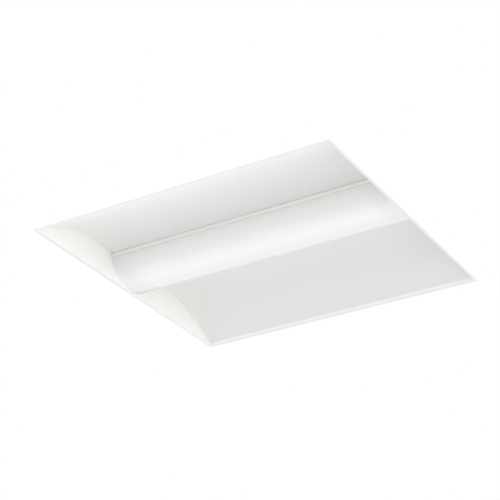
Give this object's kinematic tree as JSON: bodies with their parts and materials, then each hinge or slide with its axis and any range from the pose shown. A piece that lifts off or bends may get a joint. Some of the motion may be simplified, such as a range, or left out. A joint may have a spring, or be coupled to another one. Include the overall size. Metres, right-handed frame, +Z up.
{
  "type": "recessed troffer light",
  "caption": "Square recessed lay-in ceiling light with curved white side reflectors round a deep central opal lens that hinges down.",
  "frame": {"origin": "centre of the square face that rests on the ceiling grid, in the plane of its rim", "axes": "+X along the lens, +Y across it towards the lens hinge, +Z up into the ceiling void"},
  "size_m": [0.603, 0.603, 0.0889],
  "materials": {
    "white_enamel": "matt white powder coat on steel",
    "opal_acrylic": "opal, satin",
    "white_aluminium": "matt white powder coat on an extrusion",
    "zinc_steel": "zinc plated",
    "spring_steel": "bright",
    "board_white": "white solder mask",
    "led_phosphor": "phosphor",
    "driver_steel": "white coated steel",
    "board_green": "green solder mask",
    "dark_component": "moulded",
    "nylon_white": "moulded",
    "nylon_grey": "moulded",
    "lead_black": "insulated",
    "lead_white": "insulated",
    "lead_green": "insulated",
    "lead_red": "insulated",
    "rubber_black": "moulded"
  },
  "bodies": {
    "housing": {"back_pan": "white_enamel", "end_plate_left": "white_enamel", "end_plate_right": "white_enamel", "reflector_near": "white_enamel", "reflector_far": "white_enamel", "led_tray": "white_enamel", "led_board_near": "board_white", "led_board_far": "board_white", "leds_near": "led_phosphor", "leds_far": "led_phosphor", "board_connectors": "nylon_white", "led_board_screws": "zinc_steel", "lens_catch_springs": "spring_steel", "catch_rivets": "zinc_steel", "reflector_screws": "zinc_steel", "tray_screws": "zinc_steel", "end_plate_screws": "zinc_steel", "driver_screws": "zinc_steel", "driver_base": "driver_steel", "driver_case": "driver_steel", "driver_circuit_board": "board_green", "driver_transformer": "dark_component", "driver_capacitors": "dark_component", "driver_terminals": "nylon_grey", "splice_connectors": "nylon_grey", "live_lead": "lead_black", "neutral_lead": "lead_white", "ground_lead": "lead_green", "ground_lug": "zinc_steel", "ground_screw": "zinc_steel", "output_lead_far": "lead_red", "output_lead_near": "lead_red", "lead_grommet": "rubber_black", "cover_hinge_leaf": "zinc_steel", "cover_hinge_wire": "zinc_steel", "hinge_leaf_rivets": "zinc_steel", "clip_rivets": "zinc_steel"},
    "lens": {"lens_diffuser": "opal_acrylic", "lens_rail_near": "white_aluminium", "lens_rail_far": "white_aluminium", "lens_bracket_left": "zinc_steel", "lens_bracket_right": "zinc_steel", "lens_screws": "zinc_steel", "lens_hinge_pins": "zinc_steel"},
    "cover": {"access_cover": "white_enamel"},
    "clip_1": {"grid_clip_1": "zinc_steel"},
    "clip_2": {"grid_clip_2": "zinc_steel"},
    "clip_3": {"grid_clip_3": "zinc_steel"},
    "clip_4": {"grid_clip_4": "zinc_steel"}
  },
  "joints": [
    {"name": "lens_swing", "type": "hinge", "parent": "housing", "child": "lens", "pos_m": [0, 0.06414, 0.0518], "axis": [1, 0, 0], "range_deg": [0, 90]},
    {"name": "cover_swing", "type": "hinge", "parent": "housing", "child": "cover", "pos_m": [-0.2698, 0.15, 0.0858], "axis": [0, -1, 0], "range_deg": [0, 110]},
    {"name": "clip_1_swing", "type": "hinge", "parent": "housing", "child": "clip_1", "pos_m": [-0.24, -0.288, 0.0409], "axis": [0, 0, -1], "range_deg": [0, 90]},
    {"name": "clip_2_swing", "type": "hinge", "parent": "housing", "child": "clip_2", "pos_m": [-0.24, 0.288, 0.0409], "axis": [0, 0, 1], "range_deg": [0, 90]},
    {"name": "clip_3_swing", "type": "hinge", "parent": "housing", "child": "clip_3", "pos_m": [0.24, -0.288, 0.0409], "axis": [0, 0, 1], "range_deg": [0, 90]},
    {"name": "clip_4_swing", "type": "hinge", "parent": "housing", "child": "clip_4", "pos_m": [0.24, 0.288, 0.0409], "axis": [0, 0, -1], "range_deg": [0, 90]}
  ]
}
